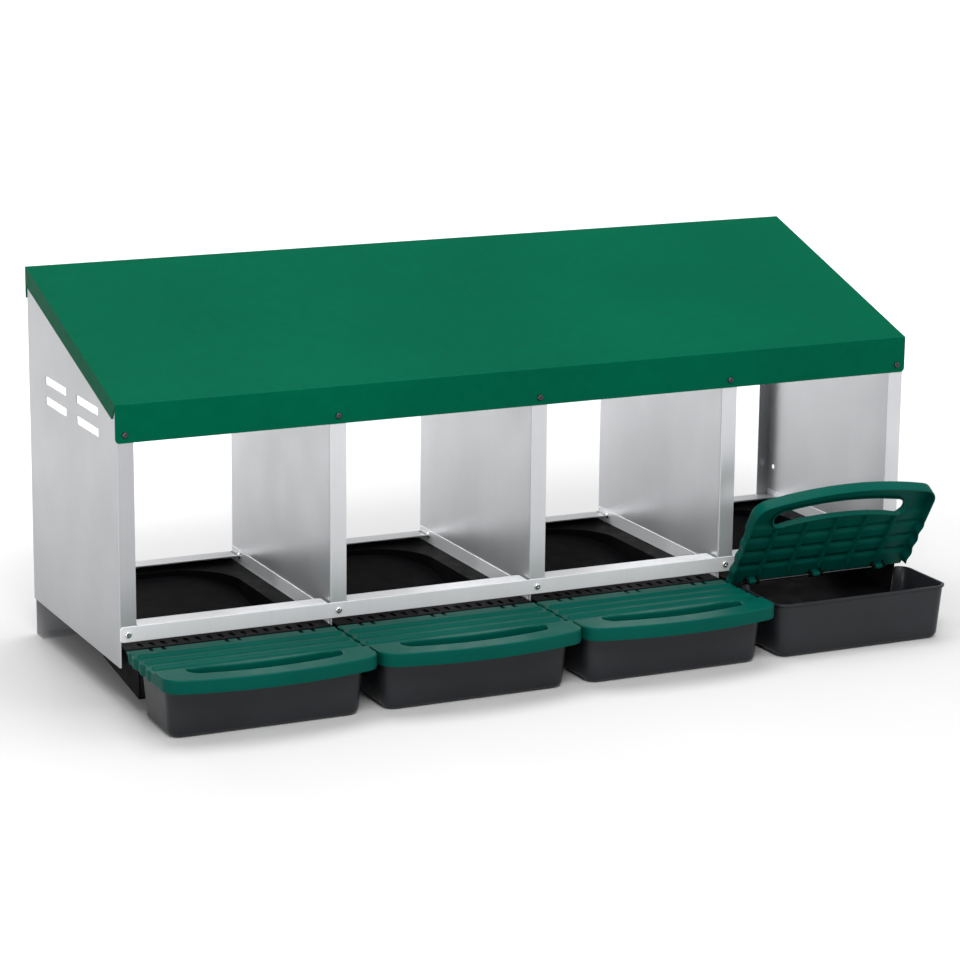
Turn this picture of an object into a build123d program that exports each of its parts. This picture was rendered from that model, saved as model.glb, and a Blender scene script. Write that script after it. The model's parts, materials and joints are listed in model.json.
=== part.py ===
from build123d import *
import math
import os

# A four-bay roll-out nesting box for laying hens.
# All sizes are in millimetres. While it is modelled, x runs from the left panel's outer
# face, y from the front face of the posts towards the back, and z up from the shelf it
# stands on. PLACE then moves every piece so that the origin is under the middle.

# Driving dimensions of the sheet-metal house
BAYS = 4
PITCH = 305.0  # one nest, from plate to plate
SHEET = 1.2
DEPTH = 380.0  # front of the posts to the back of the rear flanges
PANEL_BOTTOM = 54.0
FRONT_TOP = 415.0  # top of the roof at its front bend
BACK_TOP = 539.0  # top of the roof at its rear bend
BEND = 1.0  # inner radius of a sheet-metal bend
FIT = 0.3  # side gap between parts that only lie close together

# Roof
FASCIA = 52.0
SIDE_LIP = 22.0
REAR_LIP = 45.0
LIP_FRONT_CUT = 13.0

# Posts, rails and flanges
POST = 24.0
REAR_FLANGE = 20.0
RAIL_BOTTOM = 89.0
RAIL_TOP = 111.0
RAIL_FLANGE = 28.0
RAIL_END_RADIUS = 5.0
REAR_RAIL_TOP = 92.0
REAR_RAIL_FLANGE = 29.0
UPPER_RAIL = (496.0, 530.0)
TAB = 22.0
LOWER_TAB = (56.0, 88.0)

# Vents and the fixing hole in the panels
VENT_LENGTH = 91.0
VENT_HEIGHT = 11.5
VENT_Y = (119.0, 256.0)
VENT_Z = (362.0, 391.0)
PANEL_HOLE_RADIUS = 4.0
PANEL_HOLE_Y = 362.0
PANEL_HOLE_Z = 139.0

# Angles that carry the nest trays
ANGLE_BOTTOM = 79.0
ANGLE_TOP = 101.0
ANGLE_SHELF = 8.0
ANGLE_FRONT = 5.0
ANGLE_BACK = 375.0

# Nest tray, moulded in black plastic
WALL = 2.6
RIM_TOP = 83.0
RIM_HALF = 148.6
RIM_BACK = 373.0
APRON_FRONT = -15.0
NEST_HALF = 118.5
NEST_FRONT = 18.0
NEST_BACK = 340.0
NEST_CORNER = 88.0
NEST_TAPER = 5.0
FLOOR_AT_POSTS = 31.2  # height of the sloping floor at y = 0
FLOOR_SLOPE = 0.132
RAMP_HALF = 142.5
RAMP_BACK = 100.0
RAMP_FRONT = -46.0
RAMP_WALL_TOP = 62.0
SPOUT_HALF = 114.0
SPOUT_FRONT = -62.0
SPOUT_LIP = 9.0
SLOT_PITCH = 16.5
SLOT_WIDTH = 6.5
SLOT_LENGTH = 17.0
SLOT_COUNT = 16
SLOT_Y = 0.5

# Egg tray
TRAY_TOP = 80.3
TRAY_HALF = (140.5, 134.5)  # at the rim and at the bottom
TRAY_SHIFT = -3.5  # the tray sits a little to the left of its lid's middle
TRAY_FRONT = (-165.0, -160.5)
TRAY_BACK = (-49.0, -53.0)
TRAY_CORNER = 17.0
TRAY_EDGE = 9.0
TRAY_WALL = 2.5
TRAY_GATE_HALF = 122.0
TRAY_GATE = 18.5
BEAD = 2.4
BEAD_HEIGHT = 4.0

# Egg tray lid and its hinge
AXIS_Y = -24.0
AXIS_Z = 76.0
ROD_RADIUS = 1.5
ROD_HALF = 121.0
EAR_BORE = 1.55
KNUCKLE_BORE = 1.57
KNUCKLE_RADIUS = 4.0
KNUCKLE_HALF = 6.0
EAR = 4.5
EAR_GAP = 0.5
KNUCKLES = (-108.0, 0.0, 108.0)
LID_HALF = 150.6
LID_BACK = 4.5  # how far the lid reaches behind its hinge axis
LID_SIDE = 156.0  # hinge axis to the front corners
LID_MIDDLE = 177.0  # hinge axis to the middle of the bowed front
LID_CORNER = 26.0
LID_SKIN = 2.2
LID_UNDER = 80.6
SKIRT_BOTTOM = 68.0
SKIRT_START = 5.0
NOTCH = 6.5
RIB_FROM_AXIS = (28.0, 56.0, 84.0)
RIB_WIDTH = 17.0
RIB_HEIGHT = 3.8
RIB_HALF = 147.0
DECK_START = 103.0  # hinge axis to the raised front part of the lid
GRIP_MIDDLE = 133.0
GRIP_SIDE = 122.5
GRIP_HALF = 96.0
GRIP_WIDTH = 27.0
STIFFENERS_X = (-100.0, -50.0, 0.0, 50.0, 100.0)
STIFFENER = 1.8
STIFFENER_DEPTH = 6.0
OPEN_LID = 4
OPEN_ANGLE = 58.5  # how far the last lid is raised

# M4 pan-head screws and their nuts
SCREW_RADIUS = 2.0
SCREW_HOLE = 2.1
HEAD_RADIUS = 4.4
HEAD_HEIGHT = 2.6
NUT_FLATS = 7.0
NUT_HEIGHT = 3.0
CROSS_WIDTH = 1.1
CROSS_LENGTH = 4.6
CROSS_DEPTH = 1.2
POST_SCREW = 12.0  # from a post's edge to its screws
ROOF_SCREW_Z = 374.0
RAIL_SCREW_Z = 100.0
REAR_SCREW_Z = 70.0
UPPER_SCREW_Z = 514.0
ANGLE_SCREW_Z = 93.0
ANGLE_SCREW_Y = (36.0, 343.0)

# Wall fixing holes
WALL_HOLE = 3.5
WALL_HOLE_Z = (40.0, 512.0)

# Worked out from the above
WIDTH = BAYS * PITCH
SLOPE = (BACK_TOP - FRONT_TOP) / (DEPTH + 2 * SHEET)
PITCH_COS = math.cos(math.atan(SLOPE))
WEB_BACK = DEPTH - SHEET - 0.1  # back face of the two rear rails
WEB_FRONT = WEB_BACK - SHEET
PLATE_BACK = WEB_FRONT - 0.1
RAIL_END = SHEET + BEND + 0.2  # the rear rails stop short of the panels' inner bends
REAR_FACE = DEPTH + SHEET + HEAD_HEIGHT
FRONT_FACE = AXIS_Y - LID_MIDDLE
PLACE = Pos(-WIDTH / 2, -(REAR_FACE + FRONT_FACE) / 2, 0)
TALL = 2 * BACK_TOP


def block(x0, x1, y0, y1, z0, z1):
    """A box between two corners."""
    centre = Pos((x0 + x1) / 2, (y0 + y1) / 2, (z0 + z1) / 2)
    return centre * Box(x1 - x0, y1 - y0, z1 - z0)


def rod_along_x(x0, x1, y, z, radius):
    """A round bar along x."""
    return Pos((x0 + x1) / 2, y, z) * Rot(0, 90, 0) * Cylinder(radius, x1 - x0)


def rod_along_y(x, y0, y1, z, radius):
    """A round bar along y."""
    return Pos(x, (y0 + y1) / 2, z) * Rot(90, 0, 0) * Cylinder(radius, y1 - y0)


def side_shape(points, x0, x1):
    """A flat outline in y and z, given thickness along x."""
    outline = make_face(Polyline(*points, close=True))
    return Pos(x0, 0, 0) * extrude(Plane.YZ * outline, amount=x1 - x0)


def bent_sheet(points, z0, z1):
    """Sheet metal bent along a path in x and y, standing from z0 to z1."""
    path = FilletPolyline(*points, radius=BEND)
    section = make_face(offset(path, amount=SHEET, side=Side.LEFT))
    return Pos(0, 0, z0) * extrude(section, amount=z1 - z0)


def roof_top(y):
    return FRONT_TOP + (y + SHEET) * SLOPE


def under_roof():
    """Everything below the roof sheet, as a tool that trims the plates."""
    drop = SHEET / PITCH_COS + 0.2
    front, back = -50.0, DEPTH + 50.0
    points = [
        (front, -10),
        (back, -10),
        (back, roof_top(back) - drop),
        (front, roof_top(front) - drop),
    ]
    return side_shape(points, -10, WIDTH + 10)


def post_screw_x():
    """Where the five screws stand along the front."""
    return [i * PITCH + POST_SCREW for i in range(BAYS)] + [WIDTH - POST_SCREW]


def save(name, shape):
    export_step(PLACE * shape, f"parts/{name}.step")


def save_group(name, solids):
    export_step(Compound(children=[PLACE * s for s in solids]), f"parts/{name}.step")


# --- sheet metal ---------------------------------------------------------------------


def side_panel():
    """The left panel: a plate with a post at its front and a flange at its rear."""
    path = [
        (POST, SHEET),
        (SHEET, SHEET),
        (SHEET, DEPTH - SHEET),
        (REAR_FLANGE, DEPTH - SHEET),
    ]
    panel = bent_sheet(path, PANEL_BOTTOM, BACK_TOP)
    panel &= under_roof()
    panel -= block(2 * SHEET, POST + 1, -1, 2 * SHEET, 0, RAIL_BOTTOM)
    for y in VENT_Y:
        for z in VENT_Z:
            vent = Plane.YZ * Pos(y, z) * RectangleRounded(VENT_LENGTH, VENT_HEIGHT, 1.0)
            panel -= Pos(-1, 0, 0) * extrude(vent, amount=4 * SHEET)
    panel -= rod_along_y(POST_SCREW, -1, 3, RAIL_SCREW_Z, SCREW_HOLE)
    panel -= rod_along_y(POST_SCREW, -1, 3, ROOF_SCREW_Z, SCREW_HOLE)
    for z in (REAR_SCREW_Z, UPPER_SCREW_Z):
        panel -= rod_along_y(POST_SCREW, DEPTH - 3, DEPTH + 1, z, SCREW_HOLE)
    return panel


def divider():
    """A plate with a post at its front and two screw tabs at its rear, at x = 0."""
    path = [(POST, SHEET), (SHEET, SHEET), (SHEET, PLATE_BACK)]
    plate = bent_sheet(path, PANEL_BOTTOM, BACK_TOP)
    for z0, z1 in (LOWER_TAB, (UPPER_RAIL[0] + 2, UPPER_RAIL[1] - 4)):
        plate += block(0, TAB, PLATE_BACK - SHEET, PLATE_BACK, z0, z1)
    plate &= under_roof()
    plate -= block(2 * SHEET, POST + 1, -1, 2 * SHEET, 0, RAIL_BOTTOM)
    for z in (RAIL_SCREW_Z, ROOF_SCREW_Z):
        plate -= rod_along_y(POST_SCREW, -1, 3, z, SCREW_HOLE)
    for z in (REAR_SCREW_Z, UPPER_SCREW_Z):
        plate -= rod_along_y(POST_SCREW, PLATE_BACK - 3, PLATE_BACK + 1, z, SCREW_HOLE)
    for y in ANGLE_SCREW_Y:
        plate -= rod_along_x(-1, 3, y, ANGLE_SCREW_Z, SCREW_HOLE)
    return plate


def roof_cover():
    """One folded sheet: slope, fascia, two side lips and a rear lip."""
    drop = SHEET / PITCH_COS
    back = DEPTH + SHEET
    slope = [
        (-SHEET, FRONT_TOP),
        (back, BACK_TOP),
        (back, BACK_TOP - REAR_LIP),
        (DEPTH, BACK_TOP - REAR_LIP),
        (DEPTH, roof_top(DEPTH) - drop),
        (0, roof_top(0) - drop),
        (0, FRONT_TOP - FASCIA),
        (-SHEET, FRONT_TOP - FASCIA),
    ]
    left = -SHEET - FIT
    right = WIDTH + SHEET + FIT
    roof = side_shape(slope, left, right)
    lip = [
        (-SHEET, FRONT_TOP),
        (back, BACK_TOP),
        (back - 3, BACK_TOP - SIDE_LIP - 6),
        (LIP_FRONT_CUT, roof_top(LIP_FRONT_CUT) - SIDE_LIP - 4),
    ]
    roof += side_shape(lip, left, left + SHEET)
    roof += side_shape(lip, right - SHEET, right)
    bends = roof.edges().filter_by(Axis.X).filter_by(lambda e: e.length > WIDTH)
    front_bend = [e for e in bends if e.center().Y < -SHEET / 2 and e.center().Z > FRONT_TOP - 1]
    rear_bend = [e for e in bends if e.center().Y > DEPTH and e.center().Z > BACK_TOP - 1]
    roof = fillet(front_bend + rear_bend, BEND)
    for x in (left, right):
        corner = block(x - 6, x + 6, -SHEET, 0, FRONT_TOP - FASCIA - 1, FRONT_TOP - FASCIA + 5)
        edge = 1 if x == right else -1
        centre = Pos(x - edge * 6, 0, FRONT_TOP - FASCIA + 6) * Rot(90, 0, 0)
        roof -= corner - centre * Cylinder(6, 20)
    for x in post_screw_x():
        roof -= rod_along_y(x, -3, 1, ROOF_SCREW_Z, SCREW_HOLE)
        roof -= rod_along_y(x, DEPTH - 1, DEPTH + 3, UPPER_SCREW_Z, SCREW_HOLE)
    for x in wall_hole_x():
        roof -= rod_along_y(x, DEPTH - 1, DEPTH + 3, WALL_HOLE_Z[1], WALL_HOLE)
    return roof


def wall_hole_x():
    return (PITCH / 2, WIDTH - PITCH / 2)


def front_rail():
    """The lip that keeps litter and eggs in, screwed across the posts."""
    face = block(0.6, WIDTH - 0.6, -SHEET, 0, RAIL_BOTTOM, RAIL_TOP)
    face = fillet(face.edges().filter_by(Axis.Y), RAIL_END_RADIUS)
    for i in range(BAYS):
        start = i * PITCH + POST + 2.0
        end = (i + 1) * PITCH - (POST + 2.0 if i == BAYS - 1 else 3.2)
        flange = block(start, end, -SHEET, RAIL_FLANGE, RAIL_TOP - SHEET, RAIL_TOP)
        tips = [e for e in flange.edges().filter_by(Axis.Z) if e.center().Y > 0]
        face += fillet(tips, 2.0)
    bend = [
        e
        for e in face.edges().filter_by(Axis.X)
        if abs(e.center().Y + SHEET) < 0.01 and abs(e.center().Z - RAIL_TOP) < 0.01
    ]
    face = fillet(bend, 0.9)
    for x in post_screw_x():
        face -= rod_along_y(x, -3, 1, RAIL_SCREW_Z, SCREW_HOLE)
    return face


def rear_rail():
    """A channel under the back of the house: skirt, foot flange and one top flange per bay."""
    left, right = RAIL_END, WIDTH - RAIL_END
    foot_front = WEB_BACK - RAIL_FLANGE
    rail = block(left, right, WEB_FRONT, WEB_BACK, 0, REAR_RAIL_TOP)
    rail += block(left, right, foot_front, WEB_BACK, 0, SHEET)
    bottom = [
        e
        for e in rail.edges().filter_by(Axis.X)
        if e.center().Z < 0.01 and e.center().Y > WEB_BACK - 0.01
    ]
    rail = fillet(bottom, BEND)
    for i in range(BAYS):
        start = i * PITCH + 2 * SHEET + 1.0
        end = (i + 1) * PITCH - 2 * SHEET - 1.0
        front = WEB_BACK - REAR_RAIL_FLANGE
        rail += block(start, end, front, WEB_BACK, REAR_RAIL_TOP - SHEET, REAR_RAIL_TOP)
    for x in post_screw_x():
        rail -= rod_along_y(x, WEB_FRONT - 1, WEB_BACK + 1, REAR_SCREW_Z, SCREW_HOLE)
    for x in wall_hole_x():
        rail -= rod_along_y(x, WEB_FRONT - 1, WEB_BACK + 1, WALL_HOLE_Z[0], WALL_HOLE)
    return rail


def upper_rear_rail():
    """A flat strip under the roof that ties the plates together at the back."""
    rail = block(RAIL_END, WIDTH - RAIL_END, WEB_FRONT, WEB_BACK, *UPPER_RAIL)
    for x in post_screw_x():
        rail -= rod_along_y(x, WEB_FRONT - 1, WEB_BACK + 1, UPPER_SCREW_Z, SCREW_HOLE)
    for x in wall_hole_x():
        rail -= rod_along_y(x, WEB_FRONT - 1, WEB_BACK + 1, WALL_HOLE_Z[1], WALL_HOLE)
    return rail


def tray_angle(drilled):
    """A left-hand angle against a plate's face at x = 0, with its shelf towards +x."""
    angle = block(0, SHEET, ANGLE_FRONT, ANGLE_BACK, ANGLE_BOTTOM, ANGLE_TOP)
    angle += block(0, ANGLE_SHELF, ANGLE_FRONT, ANGLE_BACK, ANGLE_BOTTOM, ANGLE_BOTTOM + SHEET)
    heel = [
        e
        for e in angle.edges().filter_by(Axis.Y)
        if abs(e.center().X) < 0.01 and e.center().Z < ANGLE_BOTTOM + 0.01
    ]
    angle = fillet(heel, BEND)
    if drilled:
        for y in ANGLE_SCREW_Y:
            angle -= rod_along_x(-1, 3, y, ANGLE_SCREW_Z, SCREW_HOLE)
    return angle


# --- nest tray -----------------------------------------------------------------------


def floor_height(y):
    return FLOOR_AT_POSTS + FLOOR_SLOPE * y


def above_floor(drop):
    """Everything above the sloping floor, lowered by drop."""
    front, back = -80.0, DEPTH + 20.0
    points = [
        (front, floor_height(front) - drop),
        (back, floor_height(back) - drop),
        (back, TALL),
        (front, TALL),
    ]
    return side_shape(points, -PITCH, PITCH)


def nest_outline(grow):
    """The rounded opening that the hen sits over."""
    length = NEST_BACK - NEST_FRONT
    shape = RectangleRounded(2 * NEST_HALF, length, NEST_CORNER)
    shape = offset(shape, amount=grow) if grow else shape
    return Pos(0, NEST_FRONT + length / 2) * shape


def nest_tray():
    """Rim, oval nest, sloping floor and egg ramp in one moulding, centred on x = 0."""
    rim_under = RIM_TOP - WALL
    rim = block(-RIM_HALF, RIM_HALF, APRON_FRONT, RIM_BACK, rim_under, RIM_TOP)
    rim = fillet([e for e in rim.edges().filter_by(Axis.Z) if e.center().Y > 0], 6.0)
    shell = extrude(Pos(0, 0, RIM_TOP - 0.5) * nest_outline(WALL), amount=-RIM_TOP, taper=NEST_TAPER)
    shell += block(-RAMP_HALF, RAMP_HALF, RAMP_FRONT, RAMP_BACK, 0, rim_under + 0.5)
    shell &= above_floor(WALL)
    tray = rim + shell
    hollow = extrude(Pos(0, 0, RIM_TOP) * nest_outline(0), amount=-RIM_TOP, taper=NEST_TAPER)
    inner = RAMP_HALF - WALL
    hollow += block(-inner, inner, RAMP_FRONT - 5, RAMP_BACK - WALL, 0, rim_under)
    hollow &= above_floor(0)
    tray -= hollow
    tray -= Pos(0, 0, RIM_TOP - 1) * extrude(nest_outline(0), amount=2)
    # the ramp's cheeks drop in front of the posts, clear of the lid's back edge
    tray -= block(-RAMP_HALF - 1, RAMP_HALF + 1, RAMP_FRONT - 1, APRON_FRONT, RAMP_WALL_TOP, TALL)
    tray += spout()
    for k in range(SLOT_COUNT):
        x = (k - (SLOT_COUNT - 1) / 2) * SLOT_PITCH
        slot = Pos(x, SLOT_Y, RIM_TOP - 2 * WALL) * Rot(0, 0, 90)
        tray -= slot * extrude(SlotOverall(SLOT_LENGTH, SLOT_WIDTH), amount=4 * WALL)
    for x in KNUCKLES:
        for side in (-1, 1):
            tray += hinge_ear(x + side * (KNUCKLE_HALF + EAR_GAP + EAR / 2))
    for x in KNUCKLES:
        tray -= rod_along_x(x - 20, x + 20, AXIS_Y, AXIS_Z, EAR_BORE)
    return tray


def spout():
    """The ramp's end, which reaches over the egg tray's low rear wall."""
    front, back = SPOUT_FRONT, RAMP_FRONT + 2
    points = [
        (back, floor_height(back) - WALL),
        (back, floor_height(back)),
        (front, floor_height(front)),
        (front, floor_height(front) - SPOUT_LIP),
        (front + WALL, floor_height(front) - SPOUT_LIP),
        (front + WALL, floor_height(front + WALL) - WALL),
    ]
    return side_shape(points, -SPOUT_HALF, SPOUT_HALF)


def hinge_ear(x):
    """A lug on the apron's front edge that holds the lid's rod."""
    top = AXIS_Z + KNUCKLE_RADIUS
    lug = rod_along_x(x - EAR / 2, x + EAR / 2, AXIS_Y, AXIS_Z, KNUCKLE_RADIUS)
    lug += block(x - EAR / 2, x + EAR / 2, AXIS_Y, APRON_FRONT, AXIS_Z - 1.0, top)
    lug += block(x - EAR / 2, x + EAR / 2, APRON_FRONT - 1, APRON_FRONT + 8, AXIS_Z - 1.0, RIM_TOP - 1)
    return lug


# --- egg tray ------------------------------------------------------------------------


def tray_section(share, inset):
    """The tray's rounded outline at a share of its height, drawn in by inset."""
    half = TRAY_HALF[1] + (TRAY_HALF[0] - TRAY_HALF[1]) * share - inset
    front = TRAY_FRONT[1] + (TRAY_FRONT[0] - TRAY_FRONT[1]) * share + inset
    back = TRAY_BACK[1] + (TRAY_BACK[0] - TRAY_BACK[1]) * share - inset
    outline = RectangleRounded(2 * half, back - front, TRAY_CORNER - inset)
    return Pos(0, (front + back) / 2, 0) * outline


def tray_body(inset, bottom, edge):
    """The tapered block that the tray is hollowed from, or its hollow."""
    low = Pos(0, 0, bottom) * tray_section(bottom / TRAY_TOP, inset)
    high = Pos(0, 0, TRAY_TOP) * tray_section(1, inset)
    body = loft([low, high])
    base = body.faces().sort_by(Axis.Z)[0]
    return fillet(base.edges(), edge)


def egg_tray():
    """The bin that the eggs roll into, centred on x = 0."""
    tray = tray_body(0, 0, TRAY_EDGE)
    bead = extrude(Pos(0, 0, TRAY_TOP - BEAD_HEIGHT) * tray_section(1, -BEAD), amount=BEAD_HEIGHT)
    bead &= block(-PITCH, PITCH, -PITCH, TRAY_BACK[0] - TRAY_CORNER, 0, TALL)
    tray += bead
    tray -= tray_body(TRAY_WALL, TRAY_WALL, TRAY_EDGE - TRAY_WALL)
    gate = block(-TRAY_GATE_HALF, TRAY_GATE_HALF, -60, 0, TRAY_GATE, TALL)
    return tray - gate


# --- lid -----------------------------------------------------------------------------


def lid_outline(inset):
    """The lid's plan, with straight sides, round corners and a bowed front."""
    half = LID_HALF - inset
    back = AXIS_Y + LID_BACK
    corner = AXIS_Y - LID_SIDE + inset
    middle = AXIS_Y - LID_MIDDLE + inset
    sides = Polyline((-half, corner), (-half, back), (half, back), (half, corner))
    front = ThreePointArc((half, corner), (0, middle), (-half, corner))
    face = make_face([*sides.edges(), front])
    corners = [v for v in face.vertices() if v.Y < corner + 1]
    return fillet(corners, LID_CORNER - inset)


def grip_outline(grow):
    """The long hand slot behind the bowed front edge."""
    ends = AXIS_Y - GRIP_SIDE
    line = ThreePointArc((-GRIP_HALF, ends), (0, AXIS_Y - GRIP_MIDDLE), (GRIP_HALF, ends))
    return SlotArc(line, GRIP_WIDTH + 2 * grow)


def raised(inset, low, high):
    """The lid's three ribs and its front deck, drawn in by inset, from low to high."""
    front = Pos(0, 0, low) * extrude(lid_outline(inset), amount=high - low)
    deck_back = AXIS_Y - DECK_START - inset
    shape = front & block(-PITCH, PITCH, -2 * PITCH, deck_back, 0, TALL)
    for u in RIB_FROM_AXIS:
        slot = SlotOverall(2 * (RIB_HALF - inset), RIB_WIDTH - 2 * inset)
        shape += Pos(0, AXIS_Y - u, low) * extrude(slot, amount=high - low)
    return shape


def lid():
    """A closed lid, centred on x = 0, with its hinge knuckles."""
    plate_top = LID_UNDER + LID_SKIN
    top = plate_top + RIB_HEIGHT
    body = Pos(0, 0, SKIRT_BOTTOM) * extrude(lid_outline(0), amount=plate_top - SKIRT_BOTTOM)
    ridges = raised(0, plate_top - 1, top)
    ridges = fillet(ridges.faces().filter_by(Axis.Z).group_by(Axis.Z)[-1].edges(), 1.8)
    body += ridges
    hollow = extrude(lid_outline(LID_SKIN), amount=LID_UNDER - SKIRT_BOTTOM + 1)
    body -= Pos(0, 0, SKIRT_BOTTOM - 1) * hollow
    body -= raised(LID_SKIN, LID_UNDER - 1, top - LID_SKIN)
    body -= block(-PITCH, PITCH, AXIS_Y - SKIRT_START, 0, 0, LID_UNDER)
    low = LID_UNDER - STIFFENER_DEPTH
    body += Pos(0, 0, LID_UNDER) * extrude(grip_outline(LID_SKIN), amount=top - LID_UNDER - 1)
    grip_back = AXIS_Y - GRIP_MIDDLE + GRIP_WIDTH / 2
    for x in STIFFENERS_X:
        x0, x1 = x - STIFFENER / 2, x + STIFFENER / 2
        body += block(x0, x1, grip_back, AXIS_Y - 14, low, LID_UNDER + 0.5)
        for u in RIB_FROM_AXIS:
            y0, y1 = AXIS_Y - u - RIB_WIDTH / 2 + 1, AXIS_Y - u + RIB_WIDTH / 2 - 1
            body += block(x0, x1, y0, y1, LID_UNDER - 1, top - LID_SKIN + 0.5)
        body += block(x0, x1, grip_back, AXIS_Y - DECK_START, LID_UNDER - 1, top - LID_SKIN + 0.5)
    body -= Pos(0, 0, SKIRT_BOTTOM) * extrude(grip_outline(0), amount=TALL)
    for x in KNUCKLES:
        body -= ear_notches(x)
        body += knuckle(x)
    for x in KNUCKLES:
        body -= rod_along_x(x - 20, x + 20, AXIS_Y, AXIS_Z, KNUCKLE_BORE)
    return body


def ear_notches(x):
    """Cuts in the lid's back edge that let it swing past the lugs."""
    near = KNUCKLE_HALF
    far = KNUCKLE_HALF + 2 * EAR_GAP + EAR
    y0, y1 = AXIS_Y - NOTCH, 0
    cuts = block(x + near, x + far, y0, y1, AXIS_Z, TALL)
    cuts += block(x - far, x - near, y0, y1, AXIS_Z, TALL)
    return cuts


def knuckle(x):
    """The lid's half of the hinge, around the rod."""
    x0, x1 = x - KNUCKLE_HALF, x + KNUCKLE_HALF
    shape = rod_along_x(x0, x1, AXIS_Y, AXIS_Z, KNUCKLE_RADIUS)
    shape += block(x0, x1, AXIS_Y - KNUCKLE_RADIUS, AXIS_Y + 1.5, AXIS_Z, LID_UNDER + 0.5)
    return shape


# --- fasteners -----------------------------------------------------------------------


def screw(length):
    """A pan-head screw along -y from a head whose seat is at the origin."""
    head = Rot(90, 0, 0) * Cylinder(HEAD_RADIUS, HEAD_HEIGHT)
    head = Pos(0, -HEAD_HEIGHT / 2, 0) * head
    crown = [e for e in head.edges() if e.center().Y < -HEAD_HEIGHT + 0.01]
    head = fillet(crown, 1.8)
    for turn in (45, 135):
        arm = Box(CROSS_LENGTH, 2 * CROSS_DEPTH, CROSS_WIDTH)
        head -= Pos(0, -HEAD_HEIGHT, 0) * Rot(0, turn, 0) * arm
    return head + rod_along_y(0, -0.5, length, 0, SCREW_RADIUS)


def nut():
    """A hexagon nut along +y whose seat is at the origin."""
    body = extrude(RegularPolygon(NUT_FLATS / 2, 6, major_radius=False), amount=NUT_HEIGHT)
    body -= Cylinder(SCREW_HOLE, 4 * NUT_HEIGHT)
    return Rot(-90, 0, 0) * body


def facing_back(shape):
    return Rot(0, 0, 180) * shape


def build():
    os.makedirs("parts", exist_ok=True)

    left_panel = side_panel()
    save("side_panel_left", left_panel)
    right_panel = Pos(WIDTH, 0, 0) * mirror(left_panel, about=Plane.YZ)
    right_panel -= rod_along_x(WIDTH - 5, WIDTH + 5, PANEL_HOLE_Y, PANEL_HOLE_Z, PANEL_HOLE_RADIUS)
    save("side_panel_right", right_panel)
    plate = divider()
    for i in range(1, BAYS):
        save(f"divider_{i}", Pos(i * PITCH, 0, 0) * plate)
    save("roof_cover", roof_cover())
    save("front_rail", front_rail())
    save("rear_rail", rear_rail())
    save("upper_rear_rail", upper_rear_rail())

    tray, bin_, cover = nest_tray(), egg_tray(), lid()
    rod = rod_along_x(-ROD_HALF, ROD_HALF, AXIS_Y, AXIS_Z, ROD_RADIUS)
    swing = Pos(0, AXIS_Y, AXIS_Z) * Rot(-OPEN_ANGLE, 0, 0) * Pos(0, -AXIS_Y, -AXIS_Z)
    for i in range(BAYS):
        n = i + 1
        middle = Pos((i + 0.5) * PITCH, 0, 0)
        save(f"nest_tray_{n}", middle * tray)
        save(f"egg_tray_{n}", middle * Pos(TRAY_SHIFT, 0, 0) * bin_)
        save(f"egg_tray_lid_{n}", middle * (swing * cover if n == OPEN_LID else cover))
        save(f"lid_hinge_rod_{n}", middle * rod)
        left_face = i * PITCH + SHEET
        right_face = WIDTH - SHEET if n == BAYS else n * PITCH
        save(f"tray_angle_{n}_left", Pos(left_face, 0, 0) * tray_angle(i > 0))
        mirrored = mirror(tray_angle(n < BAYS), about=Plane.YZ)
        save(f"tray_angle_{n}_right", Pos(right_face, 0, 0) * mirrored)

    save_fasteners()


def save_fasteners():
    short, long = screw(7.0), screw(9.0)
    across = post_screw_x()
    save_group("roof_screws", [Pos(x, -SHEET, ROOF_SCREW_Z) * short for x in across])
    save_group("roof_nuts", [Pos(x, SHEET, ROOF_SCREW_Z) * nut() for x in across])
    save_group("front_rail_screws", [Pos(x, -SHEET, RAIL_SCREW_Z) * short for x in across])
    save_group("front_rail_nuts", [Pos(x, SHEET, RAIL_SCREW_Z) * nut() for x in across])
    rear_seat = [DEPTH] + [WEB_BACK] * (BAYS - 1) + [DEPTH]
    rear_nut = [WEB_FRONT] + [PLATE_BACK - SHEET] * (BAYS - 1) + [WEB_FRONT]
    lower, lower_nuts, upper, upper_nuts = [], [], [], []
    for x, seat, back in zip(across, rear_seat, rear_nut):
        lower.append(Pos(x, seat, REAR_SCREW_Z) * facing_back(short))
        lower_nuts.append(Pos(x, back, REAR_SCREW_Z) * facing_back(nut()))
        upper.append(Pos(x, DEPTH + SHEET, UPPER_SCREW_Z) * facing_back(long))
        upper_nuts.append(Pos(x, back, UPPER_SCREW_Z) * facing_back(nut()))
    save_group("rear_rail_screws", lower)
    save_group("rear_rail_nuts", lower_nuts)
    save_group("roof_rear_screws", upper)
    save_group("roof_rear_nuts", upper_nuts)
    screws, nuts = [], []
    for i in range(1, BAYS):
        for y in ANGLE_SCREW_Y:
            head = Pos(i * PITCH - SHEET, y, ANGLE_SCREW_Z)
            tail = Pos(i * PITCH + 2 * SHEET, y, ANGLE_SCREW_Z)
            screws.append(head * Rot(0, 0, -90) * short)
            nuts.append(tail * Rot(0, 0, -90) * nut())
    save_group("tray_angle_screws", screws)
    save_group("tray_angle_nuts", nuts)


build()
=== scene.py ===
"""Nesting box: finishes, moulded lids and egg trays, studio light and camera."""

import json
import math

import bmesh
import bpy
from mathutils import Matrix, Vector


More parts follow.
